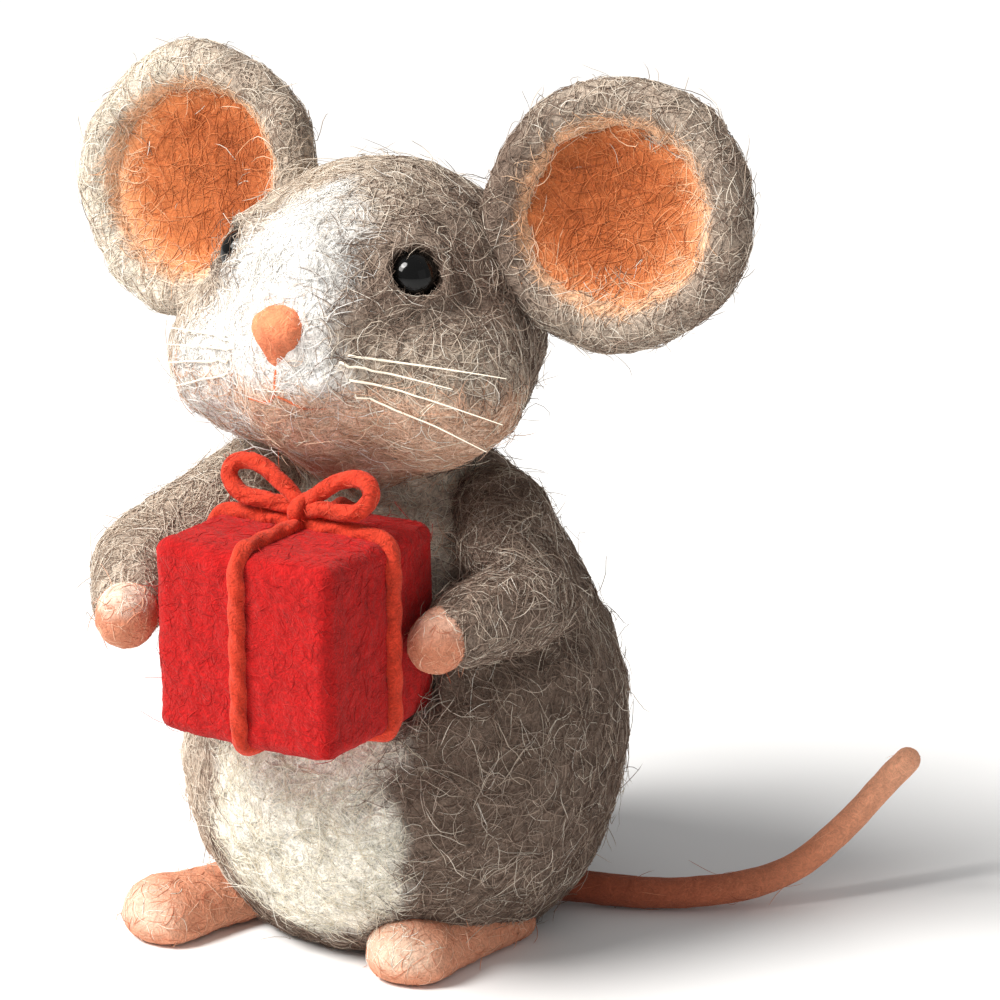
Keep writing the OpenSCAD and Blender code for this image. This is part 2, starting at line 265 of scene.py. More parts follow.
def settle(field, p, rounds=3):
    """Moves points onto a field's surface."""
    for _ in range(rounds):
        p = p - np.clip(field(p), -1.5, 1.5)[:, None] * gradient(field, p)
    return p


# ---------------------------------------------------------------- meshes

def make_object(name, verts, faces, materials, face_slots=None, colours=None):
    """A mesh object from points in millimetres and faces of equal size, with optional point colours."""
    faces = np.asarray(faces, np.int32)
    mesh = bpy.data.meshes.new(name)
    mesh.vertices.add(len(verts))
    mesh.vertices.foreach_set("co", (np.asarray(verts) * MM).astype(np.float32).ravel())
    mesh.loops.add(faces.size)
    mesh.loops.foreach_set("vertex_index", faces.ravel())
    mesh.polygons.add(len(faces))
    mesh.polygons.foreach_set("loop_start", np.arange(0, faces.size, faces.shape[1], dtype=np.int32))
    for material in materials:
        mesh.materials.append(material)
    if face_slots is not None:
        mesh.polygons.foreach_set("material_index", np.asarray(face_slots, np.int32))
    mesh.polygons.foreach_set("use_smooth", np.ones(len(faces), bool))
    if colours is not None:
        layer = mesh.color_attributes.new("wool", "FLOAT_COLOR", "POINT")
        rgba = np.column_stack([colours, np.ones(len(colours))]).astype(np.float32)
        layer.data.foreach_set("color", rgba.ravel())
    mesh.update(calc_edges=True)
    mesh.validate()
    obj = bpy.data.objects.new(name, mesh)
    link(obj)
    return obj


def sphere_mesh(level):
    """Unit icosphere as (points, triangles)."""
    bm = bmesh.new()
    bmesh.ops.create_icosphere(bm, subdivisions=level, radius=1.0)
    points = np.array([v.co[:] for v in bm.verts])
    tris = np.array([[v.index for v in f.verts] for f in bm.faces])
    bm.free()
    return points, tris


SPHERES = {}
HALVINGS = 26


def star_skin(field, middle, level, reach=60.0):
    """Mesh of a field's surface, seen from a middle point that sees all of it."""
    if level not in SPHERES:
        SPHERES[level] = sphere_mesh(level)
    ways, tris = SPHERES[level]
    middle = np.asarray(middle, float)
    near, far = np.zeros(len(ways)), np.full(len(ways), reach)
    for _ in range(HALVINGS):
        mid = (near + far) / 2
        inside = field(middle + ways * mid[:, None]) < 0
        near = np.where(inside, mid, near)
        far = np.where(inside, far, mid)
    return middle + ways * near[:, None], tris


def curve_points(knots, per_span=8):
    """Smooth points through a list of knots (Catmull-Rom)."""
    knots = [np.asarray(k, float) for k in knots]
    ends = [2 * knots[0] - knots[1]] + knots + [2 * knots[-1] - knots[-2]]
    out = []
    for i in range(1, len(ends) - 2):
        a, b, c, d = ends[i - 1:i + 3]
        for t in np.arange(per_span) / per_span:
            out.append(0.5 * (2 * b + (c - a) * t + (2 * a - 5 * b + 4 * c - d) * t ** 2
                              + (3 * b - a - 3 * c + d) * t ** 3))
    out.append(knots[-1])
    return np.array(out)


def path_frames(path, closed=False):
    """Directions along and across a path that don't twist."""
    path = np.asarray(path, float)
    if closed:
        along = np.roll(path, -1, axis=0) - np.roll(path, 1, axis=0)
    else:
        along = np.gradient(path, axis=0)
    along /= np.linalg.norm(along, axis=1)[:, None]
    across = np.zeros_like(path)
    first = np.cross(along[0], UP)
    if np.linalg.norm(first) < 0.1:
        first = np.cross(along[0], [1.0, 0, 0])
    across[0] = unit(first)
    for i in range(1, len(path)):
        v = across[i - 1] - (across[i - 1] @ along[i]) * along[i]
        across[i] = unit(v)
    return along, across, np.cross(along, across)


def sweep(path, radii, sides, closed=False):
    """Round tube along a path as (points, quads). An open one has rounded ends, each closed by a cap."""
    path = np.asarray(path, float)
    radii = np.broadcast_to(np.asarray(radii, float), (len(path),)).copy()
    if not closed:
        along, _, _ = path_frames(path)
        angles = np.radians([80, 60, 40, 20])
        head = [path[0] - along[0] * radii[0] * math.sin(a) for a in angles]
        tail = [path[-1] + along[-1] * radii[-1] * math.sin(a) for a in angles[::-1]]
        ring = [math.cos(a) for a in angles]
        first = [radii[0] * c for c in ring]
        last = [radii[-1] * c for c in ring[::-1]]
        radii = np.concatenate([first, radii, last])
        path = np.concatenate([head, path, tail])
    along, a1, a2 = path_frames(path, closed)
    turn = np.arange(sides) * 2 * math.pi / sides
    if closed:
        last = math.atan2(np.dot(np.cross(a1[-1], a1[0]), along[0]), np.dot(a1[-1], a1[0]))
        extra = np.arange(len(path)) / len(path) * last
    else:
        extra = np.zeros(len(path))
    angle = turn[None, :] + extra[:, None]
    points = path[:, None, :] + radii[:, None, None] * (
        np.cos(angle)[..., None] * a1[:, None, :] + np.sin(angle)[..., None] * a2[:, None, :])
    n = len(path)
    rows = np.arange(n if closed else n - 1)
    i, j = np.meshgrid(rows, np.arange(sides), indexing="ij")
    k, m = (i + 1) % n, (j + 1) % sides
    quads = np.stack([i * sides + j, k * sides + j, k * sides + m, i * sides + m], axis=-1).reshape(-1, 4)
    points = points.reshape(-1, 3)
    if not closed:
        caps = []
        for row, flip in ((0, False), (n - 1, True)):
            points = np.vstack([points, path[row]])
            mid = len(points) - 1
            ring = row * sides + np.arange(sides)
            for s in range(0, sides, 2):
                quad = [mid, ring[(s + 2) % sides], ring[s + 1], ring[s]]
                caps.append(quad[::-1] if flip else quad)
        quads = np.vstack([quads, caps])
    return points, quads


def stretch(path, radii, first, last, finer, sides):
    """The tube between two points of a path, with each of its steps cut into finer ones."""
    steps = last - first
    at = np.arange(steps * finer + 1) / finer
    thickness = np.interp(at, range(steps + 1), radii[first:last + 1])
    return sweep(curve_points(path[first:last + 1], finer), thickness, sides)


def join(parts):
    """Several (points, faces) as one."""
    points, faces, base = [], [], 0
    for p, f in parts:
        points.append(p)
        faces.append(np.asarray(f) + base)
        base += len(p)
    return np.vstack(points), np.vstack(faces)


# ---------------------------------------------------------------- materials

def node_material(name, rough, sheen):
    """A new material with its shader set up; returns the material, its tree and its shader."""
    material = bpy.data.materials.new(name)
    material.use_nodes = True
    tree = material.node_tree
    shader = tree.nodes["Principled BSDF"]
    shader.inputs["Roughness"].default_value = rough
    shader.inputs["Sheen Weight"].default_value = sheen
    shader.inputs["Sheen Roughness"].default_value = 0.5
    shader.inputs["Sheen Tint"].default_value = (1, 0.9, 0.8, 1)
    shader.inputs["Specular IOR Level"].default_value = 0.25
    return material, tree, shader


def add_noise(tree, place, scale, detail, distortion=0.0):
    """A noise in object space."""
    noise = tree.nodes.new("ShaderNodeTexNoise")
    noise.inputs["Scale"].default_value = scale
    noise.inputs["Detail"].default_value = detail
    noise.inputs["Distortion"].default_value = distortion
    tree.links.new(place.outputs["Object"], noise.inputs["Vector"])
    return noise.outputs["Fac"]


def add_bump(tree, shader, noises, strength, distance):
    """Bump from one or more noises, each given by its scale, detail and distortion."""
    place = tree.nodes.new("ShaderNodeTexCoord")
    total = None
    for noise in noises:
        height = add_noise(tree, place, *noise)
        if total is None:
            total = height
        else:
            add = tree.nodes.new("ShaderNodeMath")
            add.operation = "ADD"
            tree.links.new(total, add.inputs[0])
            tree.links.new(height, add.inputs[1])
            total = add.outputs[0]
    bump = tree.nodes.new("ShaderNodeBump")
    bump.inputs["Strength"].default_value = strength
    bump.inputs["Distance"].default_value = distance
    tree.links.new(total, bump.inputs["Height"])
    tree.links.new(bump.outputs["Normal"], shader.inputs["Normal"])


def wool_skin(name, contrast=0.5, sheen=0.08):
    """Felted wool whose colour comes from the mesh, streaked with fine darker and paler fibres."""
    material, tree, shader = node_material(name, 0.95, sheen)
    place = tree.nodes.new("ShaderNodeTexCoord")
    layer = tree.nodes.new("ShaderNodeVertexColor")
    layer.layer_name = "wool"
    colour = layer.outputs["Color"]
    fine = (900, 4.0, 1 - contrast, 1 + contrast * 0.6)
    broad = (260, 2.5, 1 - contrast * 0.6, 1 + contrast * 0.5)
    for scale, distortion, low, high in (fine, broad):
        streaks = add_noise(tree, place, scale, 5, distortion)
        spread = tree.nodes.new("ShaderNodeMapRange")
        spread.inputs["From Min"].default_value = 0.3
        spread.inputs["From Max"].default_value = 0.7
        spread.inputs["To Min"].default_value = low
        spread.inputs["To Max"].default_value = high
        tree.links.new(streaks, spread.inputs["Value"])
        mix = tree.nodes.new("ShaderNodeMix")
        mix.data_type = "RGBA"
        mix.blend_type = "MULTIPLY"
        mix.inputs["Factor"].default_value = 1
        tree.links.new(colour, mix.inputs[6])
        tree.links.new(spread.outputs["Result"], mix.inputs[7])
        colour = mix.outputs[2]
    tree.links.new(colour, shader.inputs["Base Color"])
    add_bump(tree, shader, ((800, 4, 3.0), (260, 3, 1.5)), 0.6, 0.0006)
    return material


def tinted(name, colour, scale, spread, rough, bump, metallic=0.0):
    """A plain material with a little unevenness in its colour and a fine bump."""
    material, tree, shader = node_material(name, rough, 0.0)
    shader.inputs["Metallic"].default_value = metallic
    place = tree.nodes.new("ShaderNodeTexCoord")
    noise = add_noise(tree, place, scale, 4)
    ramp = tree.nodes.new("ShaderNodeValToRGB")
    ramp.color_ramp.elements[0].position = 0.3
    ramp.color_ramp.elements[0].color = (*[c * (1 - spread) for c in colour], 1)
    ramp.color_ramp.elements[1].position = 0.7
    ramp.color_ramp.elements[1].color = (*[min(1, c * (1 + spread)) for c in colour], 1)
    tree.links.new(noise, ramp.inputs["Fac"])
    tree.links.new(ramp.outputs["Color"], shader.inputs["Base Color"])
    add_bump(tree, shader, ((scale * 3, 3, 0.5),), bump, 0.0003)
    return material


def linear(r, g, b):
    """Scene colour of a colour given as it looks on a screen, 0 to 255."""
    out = []
    for c in (r, g, b):
        c /= 255
        out.append(c / 12.92 if c <= 0.04045 else ((c + 0.055) / 1.055) ** 2.4)
    return np.array(out)


# The wools, by name. Each is a family of fibre tones, from the darkest to the palest.
TONES = {
    "coat": [(72, 53, 44), (102, 81, 69), (134, 113, 99), (166, 146, 131), (200, 183, 168)],
    "beige": [(160, 138, 120), (190, 170, 152), (214, 198, 180), (230, 218, 202), (243, 235, 223)],
    "white": [(214, 208, 200), (234, 230, 224), (246, 244, 240), (252, 251, 248)],
    "cream": [(226, 214, 190), (240, 231, 211), (248, 243, 228), (252, 249, 240)],
    # Blush serves the pink round the nose and the painted reflection of the red gift on the chin.
    "blush_and_reflection": [(190, 142, 114), (208, 164, 136), (224, 188, 162), (238, 210, 188)],
    "peach": [(226, 166, 120), (238, 188, 146), (246, 208, 174), (252, 228, 204)],
    "pink": [(176, 98, 70), (200, 124, 94), (218, 150, 118), (232, 180, 150), (246, 208, 182)],
    "orange": [(146, 72, 34), (180, 96, 50), (208, 124, 74), (230, 160, 112), (246, 202, 164)],
    "nose": [(206, 98, 62), (226, 124, 84), (238, 154, 114), (248, 192, 158)],
    "tail": [(122, 56, 38), (156, 80, 56), (190, 108, 78), (214, 138, 104), (236, 172, 138)],
    "red": [(146, 8, 10), (168, 12, 14), (184, 18, 18), (196, 32, 28), (214, 58, 52)],
    "yarn": [(176, 34, 16), (204, 54, 32), (220, 76, 50), (234, 108, 78)],
}


def fibre_materials(*wools):
    """One constant-colour material for each tone of some wools, and where each wool's tones start."""
    materials, starts = [], {}
    for wool in wools:
        starts[wool] = len(materials)
        for i, tone in enumerate(TONES[wool]):
            name = "fibre_{}_{}".format(wool, i)
            material = bpy.data.materials.get(name)
            if material is None:
                material, _, shader = node_material(name, 0.8, 0.06)
                shader.inputs["Base Color"].default_value = (*linear(*tone), 1)
            materials.append(material)
    return materials, starts


def base_colour(wool, level):
    """The colour of a wool's skin between its fibres: level 0 is its darkest tone, 1 its palest."""
    tones = [linear(*t) for t in TONES[wool]]
    x = level * (len(tones) - 1)
    i = min(int(x), len(tones) - 2)
    return tones[i] + (tones[i + 1] - tones[i]) * (x - i)


def shades(wool, level):
    """The skin colour at each point's own level, on the same scale as base_colour."""
    tones = np.array([linear(*t) for t in TONES[wool]])
    last = len(tones) - 1
    return np.stack([np.interp(level * last, range(last + 1), tones[:, c]) for c in range(3)], axis=1)


# ---------------------------------------------------------------- fibres

def smooth_noise(n, count):
    """n rows of slowly wandering numbers."""
    keep = 0.75
    out = np.zeros((n, count))
    out[:, 0] = RNG.normal(size=n)
    for i in range(1, count):
        out[:, i] = keep * out[:, i - 1] + math.sqrt(1 - keep * keep) * RNG.normal(size=n)
    return out


# The lowest that a fibre may lie, in millimetres, and how many points it has.
FIBRE_FLOOR = 0.08
FIBRE_POINTS = 7


def walk_fibres(field, seeds, length, lift, curl, loose, along, comb):
    """Fibres that wander over a field's surface, as an (n, FIBRE_POINTS, 3) array.

    length is in millimetres; lift is how high they lie; curl is how tightly they turn, in radians a
    millimetre; loose is the share of them whose tips stand off the surface; comb from 0 to 1 pulls
    their way to the direction given by along(points).
    """
    n = len(seeds)
    spans = length * RNG.uniform(0.5, 1.3, n)
    step = spans / (FIBRE_POINTS - 1)
    normal = gradient(field, seeds)
    way = RNG.normal(size=(n, 3))
    if along is not None:
        way = way * (1 - comb) + along(seeds) * comb * np.sign(RNG.uniform(-0.35, 1, n))[:, None]
    way -= (way * normal).sum(1)[:, None] * normal
    way /= np.linalg.norm(way, axis=1)[:, None]
    turn = curl * (RNG.normal(size=n)[:, None] * 0.8 + smooth_noise(n, FIBRE_POINTS) * 0.8)
    height = lift * RNG.uniform(0.2, 1.3, n)
    is_loose = RNG.uniform(size=n) < loose
    stray = np.where(is_loose, RNG.gamma(2.0, 0.45, n), 0.0)
    out = np.zeros((n, FIBRE_POINTS, 3))
    p = seeds.copy()
    for i in range(FIBRE_POINTS):
        t = i / (FIBRE_POINTS - 1)
        arch = math.sin(math.pi * t) ** 0.6
        wanted = -0.08 + height * arch + stray * t ** 1.5 * 1.2
        off = np.clip(field(p) - wanted, -1.2, 1.2)
        p = p - off[:, None] * normal
        p[:, 2] = np.maximum(p[:, 2], FIBRE_FLOOR)
        out[:, i] = p
        normal = gradient(field, p)
        side = np.cross(normal, way)
        way = way + side * (turn[:, i] * step)[:, None]
        way -= (way * normal).sum(1)[:, None] * normal
        way /= np.linalg.norm(way, axis=1)[:, None]
        p = p + way * step[:, None]
    return out


def fibre_tubes(paths, radius):
    """Three-sided tapered closed tubes along (n, points, 3) paths, as (points, triangles, fibre of each)."""
    n, count, _ = paths.shape
    along = np.gradient(paths, axis=1)
    along /= np.maximum(np.linalg.norm(along, axis=2), 1e-9)[..., None]
    guide = RNG.normal(size=(n, 1, 3))
    across = guide - (guide * along).sum(2)[..., None] * along
    across /= np.linalg.norm(across, axis=2)[..., None]
    other = np.cross(along, across)
    t = np.linspace(0, 1, count)
    taper = np.minimum(1, 0.45 + 2.2 * np.minimum(t, 1 - t))
    r = radius * RNG.uniform(0.7, 1.3, n)[:, None] * taper[None, :]
    rings = []
    for s in range(3):
        a = 2 * math.pi * s / 3
        rings.append(paths + r[..., None] * (math.cos(a) * across + math.sin(a) * other))
    rings = np.stack(rings, axis=2)[:, 1:-1]
    inner = count - 2
    verts = np.concatenate([paths[:, :1], rings.reshape(n, inner * 3, 3), paths[:, -1:]], axis=1)
    per = inner * 3 + 2
    tris = []
    for s in range(3):
        m = (s + 1) % 3
        tris.append([0, 1 + m, 1 + s])
        tris.append([per - 1, per - 4 + s, per - 4 + m])
        for i in range(inner - 1):
            a, b = 1 + i * 3 + s, 1 + i * 3 + m
            tris.append([a, b, b + 3])
            tris.append([a, b + 3, a + 3])
    tris = np.array(tris)
    faces = (tris[None] + (np.arange(n) * per)[:, None, None]).reshape(-1, 3)
    return verts.reshape(-1, 3), faces, np.repeat(np.arange(n), len(tris))


def scatter(points, faces, count, keep=None):
    """Random places on a mesh, even by area; keep(points) gives the chance of each to stay."""
    faces = np.asarray(faces)
    tris = faces if faces.shape[1] == 3 else np.vstack([faces[:, [0, 1, 2]], faces[:, [0, 2, 3]]])
    a, b, c = points[tris[:, 0]], points[tris[:, 1]], points[tris[:, 2]]
    area = np.linalg.norm(np.cross(b - a, c - a), axis=1)
    tries = count if keep is None else count * 4
    pick = RNG.choice(len(tris), size=tries, p=area / area.sum())
    u, v = RNG.uniform(size=(2, tries))
    flip = u + v > 1
    u, v = np.where(flip, 1 - u, u), np.where(flip, 1 - v, v)
    out = a[pick] + u[:, None] * (b - a)[pick] + v[:, None] * (c - a)[pick]
    if keep is not None:
        out = out[RNG.uniform(size=tries) < keep(out)][:count]
    return out


DENSITY = 1.0


def add_fibres(name, field, skin, count, wools, weights, length, lift, curl=0.45, loose=0.08,
               radius=0.043, along=None, comb=0.0, keep=None, bright=None, spread=0.7):
    """A piece of fine fibres over a skin. weights(points) shares them among wools; None is one wool."""
    seeds = scatter(*skin, int(count * DENSITY), keep)
    paths = walk_fibres(field, seeds, length, lift, curl, loose, along, comb)
    middle = paths[:, paths.shape[1] // 2]
    verts, faces, which = fibre_tubes(paths, radius)
    materials, starts = fibre_materials(*wools)
    kind = np.zeros(len(seeds), int) if weights is None else pick_wool(weights(middle))
    level = 0.56 + spread * (RNG.beta(2.0, 1.6, len(seeds)) - 0.56)
    if bright is not None:
        level = np.clip(level + bright(middle), 0, 0.999)
    slots = np.zeros(len(seeds), int)
    for i, wool in enumerate(wools):
        mine = kind == i
        slots[mine] = starts[wool] + (level[mine] * len(TONES[wool])).astype(int)
    return make_object(name, verts, faces, materials, slots[which])


def mixed_colour(weights, wools, levels):
    """Skin colours from the weight of each wool at each point."""
    out = 0
    for w, wool, level in zip(weights, wools, levels):
        out = out + w[:, None] * base_colour(wool, level)
    return out / np.maximum(sum(weights), 1e-6)[:, None]


def step_up(x, low, high):
    """0 below low, 1 above high, smooth between them."""
    t = np.clip((x - low) / (high - low), 0, 1)
    return t * t * (3 - 2 * t)


def pick_wool(weights):
    """The number of one wool for each point, drawn by their weights."""
    weights = np.stack(weights, axis=1)
    total = weights.cumsum(axis=1)
    draw = RNG.uniform(size=len(weights)) * total[:, -1]
    return (draw[:, None] > total).sum(axis=1)


# ---------------------------------------------------------------- forms

FLOOR_SOFT = 2.0
BELLY = np.array([0, 0, BELLY_R - 6.75])
BACK = np.array([0, 5, 28.0])
CHEST = NECK + [0, 3.7, -15.4]
SKULL = np.array([0, -4, SKULL_TOP - 20])
MUZZLE = NOSE + [0, 8.6, -4.2]
CHEEKS = [SKULL + [side * 15, -8.5, -4.2] for side in (-1, 1)]


def above_floor(p, d, soft=FLOOR_SOFT):
    """A field cut off, with a soft edge, where it would go through the floor."""
    return -soft_union(-d, p[:, 2], soft)


def torso_field(p):
    d = ball(p, BELLY, BELLY_R)
    d = soft_union(d, ball(p, BACK, 24.5), 6)
    d = soft_union(d, ball(p, CHEST, 17.3), 7)
    for side in SIDES:
        d = soft_union(d, ball(p, SHOULDER[side] * [0.8, 1, 1] + [0, 1.5, -0.5], 4.6), 4)
    d = soft_cut(d, block(p, GIFT, GIFT_HALF + 0.5, 2.0), 1.5)
    return above_floor(p, felted(p, d))


def head_field(p):
    d = ball(p, SKULL, 20)
    d = soft_union(d, ball(p, MUZZLE, 9.5), 6)
    for cheek in CHEEKS:
        d = soft_union(d, ball(p, cheek, 8.7), 6)
    d = soft_union(d, rod(p, SKULL + [0, -13, 9], NOSE + [0, 5.0, 1.0], 6.0, 3.6), 5)
    for eye in EYES.values():
        out = unit(eye - SKULL)
        d = soft_union(d, ball(p, eye - out * 2.0 + [0, 0, 0.4], 5.2), 2.5)
    d = felted(p, d, 0.9)
    for eye in EYES.values():
        d = soft_cut(d, rod(p, eye, eye + unit(eye - SKULL) * 3, EYE_R - 0.25, EYE_R + 0.5), 0.8)
    return d


def neck_field(p):
    return felted(p, ball(p, NECK, 10.2), 0.7)


def nose_field(p):
    d = None
    for x, y, z, r in ((-1.0, 0, 0.9, 2.55), (1.0, 0, 0.9, 2.55), (0, 0.4, -2.3, 2.0)):
        lobe = ball(p, NOSE + [x, y, z], r)
        d = lobe if d is None else soft_union(d, lobe, 1.6)
    return d - 0.12 * lumps(p, 1.2)


FOOT_R = 5.3
FOOT_Z = 2.1


def foot_line(side):
    """The middles of a foot's heel and toe."""
    low, high = low_high(side + "_foot")
    heel = np.array([high[0] - FOOT_R, high[1] - FOOT_R, FOOT_Z])
    return heel, np.array([low[0] + FOOT_R, low[1] + FOOT_R, FOOT_Z])


def foot_field(side):
    heel, toe = foot_line(side)
    way = unit(toe - heel)
    out = np.cross(way, UP)

    def field(p):
        d = rod(p, heel, toe - way * 1.0, 4.9, 5.1)
        d = soft_union(d, ball(p, toe - way * 0.6 + out * 1.2, 4.5), 2)
        d = soft_union(d, ball(p, toe - way * 0.6 - out * 1.2, 4.4), 2)
        return above_floor(p, d - 0.16 * lumps(p, 3.0) - 0.06 * lumps(p, 1.2), 2.2)
    return field


def hand_field(side):
    place = HAND[side]
    way = unit(place - ELBOW[side])
    inward = unit([-place[0] + GIFT[0], 0, 0])

    def field(p):
        d = ball(p, place - way * 0.4, 3.7)
        d = soft_union(d, ball(p, place + way * 1.1 + [0, 0, -0.6], 3.1), 1.5)
        thumb = place + way * 0.9 + inward * 0.3 + [0, -0.6, 1.9]
        d = soft_union(d, rod(p, thumb - way * 1.6, thumb, 1.7, 1.5), 0.7)
        return d - 0.12 * lumps(p, 2.0) - 0.05 * lumps(p, 0.9)
    return field


def tube_field(path, radii, amount):
    return lambda p: felted(p, path_field(p, path, radii), amount)


def gift_field(p):
    d = block(p, GIFT, GIFT_HALF, 1.9)
    return d - 0.10 * lumps(p, 3.5) - 0.07 * lumps(p, 1.1)


# Ears: a cup with a rolled rim.
EAR_UP = math.radians(8)
EAR_TURN = {"left": math.radians(10), "right": 0.0}
RIM_R = 2.6
CUP = 2.4


class Ear:
    """One ear: rho is the distance from its middle, w the height above its plane, both in millimetres."""

    def __init__(self, side):
        low, high = low_high(side + "_ear")
        self.out = 1 if side == "left" else -1
        self.r = (high[2] - low[2]) / 2
        turn = EAR_TURN[side]
        edge = high[0] if self.out > 0 else low[0]
        self.centre = np.array([edge - self.out * self.r * math.cos(turn), 0, (high[2] + low[2]) / 2])
        self.centre[1] = (low[1] + high[1]) / 2
        level = math.cos(EAR_UP)
        self.normal = np.array([math.sin(turn) * level, -math.cos(turn) * level, math.sin(EAR_UP)])
        self.across = unit(np.cross(UP, self.normal))
        self.up = np.cross(self.normal, self.across)
        self.ring = self.r - RIM_R

    def bend(self, angle):
        """How far the outline leaves a true circle."""
        return 1 + 0.018 * np.sin(2 * angle + 0.7) + 0.012 * np.sin(5 * angle + self.r)

    def local(self, p):
        q = p - self.centre
        u, v, w = q @ self.across, q @ self.up, q @ self.normal
        angle = np.arctan2(v, u)
        return np.sqrt(u * u + v * v) / self.bend(angle), w, angle

    def world(self, rho, angle, w):
        reach = rho * self.bend(angle)
        u, v = reach * np.cos(angle), reach * np.sin(angle)
        return self.centre + u[:, None] * self.across + v[:, None] * self.up + w[:, None] * self.normal

    def cup(self, rho):
        return CUP * np.clip(1 - (rho / self.ring) ** 2, 0, 1)

    def field(self, p):
        rho, w, _ = self.local(p)
        rim = np.sqrt((rho - self.ring) ** 2 + w ** 2) - RIM_R
        back = np.maximum(rho - self.ring, np.abs(w + self.cup(rho) + 0.5) - 1.4)
        return felted(p, soft_union(rim, back, 2.0), 0.75)

    def lining_field(self, p):
        rho, w, _ = self.local(p)
        d = np.maximum(rho - (self.ring - 0.8), np.abs(w + self.cup(rho) - 0.55) - 0.85)
        return d - 0.14 * lumps(p, 2.2) - 0.06 * lumps(p, 1.0)

    def lathe(self, profile, field, sides=120):
        """Triangles turned from a profile of (radius, height) pairs, then settled onto a field."""
        points, tris = [self.world(np.array([0.0]), np.array([0.0]), np.array([profile[0][1]]))], []
        angle = np.arange(sides) * 2 * math.pi / sides
        for rho, w in profile[1:-1]:
            points.append(self.world(np.full(sides, rho), angle, np.full(sides, w)))
        points.append(self.world(np.array([0.0]), np.array([0.0]), np.array([profile[-1][1]])))
        points = np.vstack(points)
        rings = len(profile) - 2
        s = np.arange(sides)
        m = (s + 1) % sides
        tris.append(np.stack([np.zeros(sides, int), 1 + m, 1 + s], axis=1))
        for i in range(rings - 1):
            a, b = 1 + i * sides, 1 + (i + 1) * sides
            tris.append(np.stack([a + s, a + m, b + m], axis=1))
            tris.append(np.stack([a + s, b + m, b + s], axis=1))
        last = len(points) - 1
        a = 1 + (rings - 1) * sides
        tris.append(np.stack([a + s, a + m, np.full(sides, last)], axis=1))
        return settle(field, points, 4), np.vstack(tris)

    def skin(self):
        profile = [(0, -CUP - 1.9)]
        profile += [(x, -self.cup(np.array(x)) - 1.9) for x in np.linspace(0.5, self.ring - 1.0, 26)]
        for a in np.radians(np.arange(-80, 200, 12)):
            profile.append((self.ring + RIM_R * math.cos(a), RIM_R * math.sin(a)))
        profile += [(x, -self.cup(np.array(x)) + 0.5) for x in np.linspace(self.ring - 2.6, 0.5, 24)]
        profile.append((0, -CUP + 0.5))
        return self.lathe(profile, self.field)

    def lining(self):
        edge = self.ring - 0.8
        profile = [(0, -CUP - 0.4)]
        profile += [(x, -self.cup(np.array(x)) - 0.4) for x in np.linspace(0.5, edge, 16)]
        profile += [(x, -self.cup(np.array(x)) + 1.1) for x in np.linspace(edge, 0.5, 34)]
        profile.append((0, -CUP + 1.1))
        return self.lathe(profile, self.lining_field)


# ---------------------------------------------------------------- where each wool lies

def head_wools(p):
    """Weights of coat, beige, white, cream and blush wool on the head, with painted light on the lit side and
    top and a painted reflection of the red gift on the chin.
    """
    q = p - SKULL
    x, z = np.abs(q[:, 0]), q[:, 2]
    wander = 0.9 * lumps(p, 3.0)
    front = step_up(-q[:, 1], 4, 9)
    # Painted light and shade: the white wool of the face reaches wider on the lit right (-x) side than on the
    # shaded left side.
    levels = [-14, -8, -3, 1, 5, 10, 15, 19]
    lit_half = np.interp(z, levels, [16, 21, 21, 18, 13, 10, 7, 1])
    shaded_half = np.interp(z, levels, [10, 11, 8.5, 6.5, 6, 6, 5, 1])
    half = np.where(q[:, 0] < 0, lit_half, shaded_half)
    white = front * (1 - step_up(x + wander, half - 3.2, half + 3.2))
    # Painted light: more pale beige wool on the lit right (-x) side of the face and the top of the head.
    lit = step_up(-q[:, 0], -8, 9) * np.maximum(step_up(-q[:, 1], -5, 6), 0.8 * step_up(z, 8, 17))
    # Painted reflection: the red gift's light on the chin is painted as blush wool, stronger from the middle
    # to the left (+x). The blush round the nose is the wool's own pink.
    chin_reflection = step_up(-z, 1.5, 6) * step_up(-q[:, 1], 0, 8) * (0.3 + 0.7 * step_up(q[:, 0], -14, -2))
    blush_and_reflection = chin_reflection + 0.3 * (1 - step_up(ball(p, NOSE, 2.6), 0.4, 3.2))
    cream = chin_reflection * 0.1
    white = white * (1 - 0.95 * chin_reflection)
    cheek = step_up(-q[:, 1], -1, 8) * step_up(-z + wander, -8, 1)
    rest = np.clip(1 - white - chin_reflection, 0, 1)
    # The pale share adds painted light on the top of the head and the lit side to the cheeks' own paler wool.
    pale = 0.14 + 0.45 * step_up(z, 8, 19) * step_up(-q[:, 0], -18, -4) + 0.55 * cheek + 0.5 * lit
    near_eye = np.minimum(ball(p, EYES["left"], EYE_R), ball(p, EYES["right"], EYE_R))
    pale = np.clip(pale, 0, 0.97) * step_up(near_eye, 0.2, 1.6)
    return [rest * (1 - pale), rest * pale, white, cream, blush_and_reflection]


HEAD_WOOLS = ("coat", "beige", "white", "cream", "blush_and_reflection")


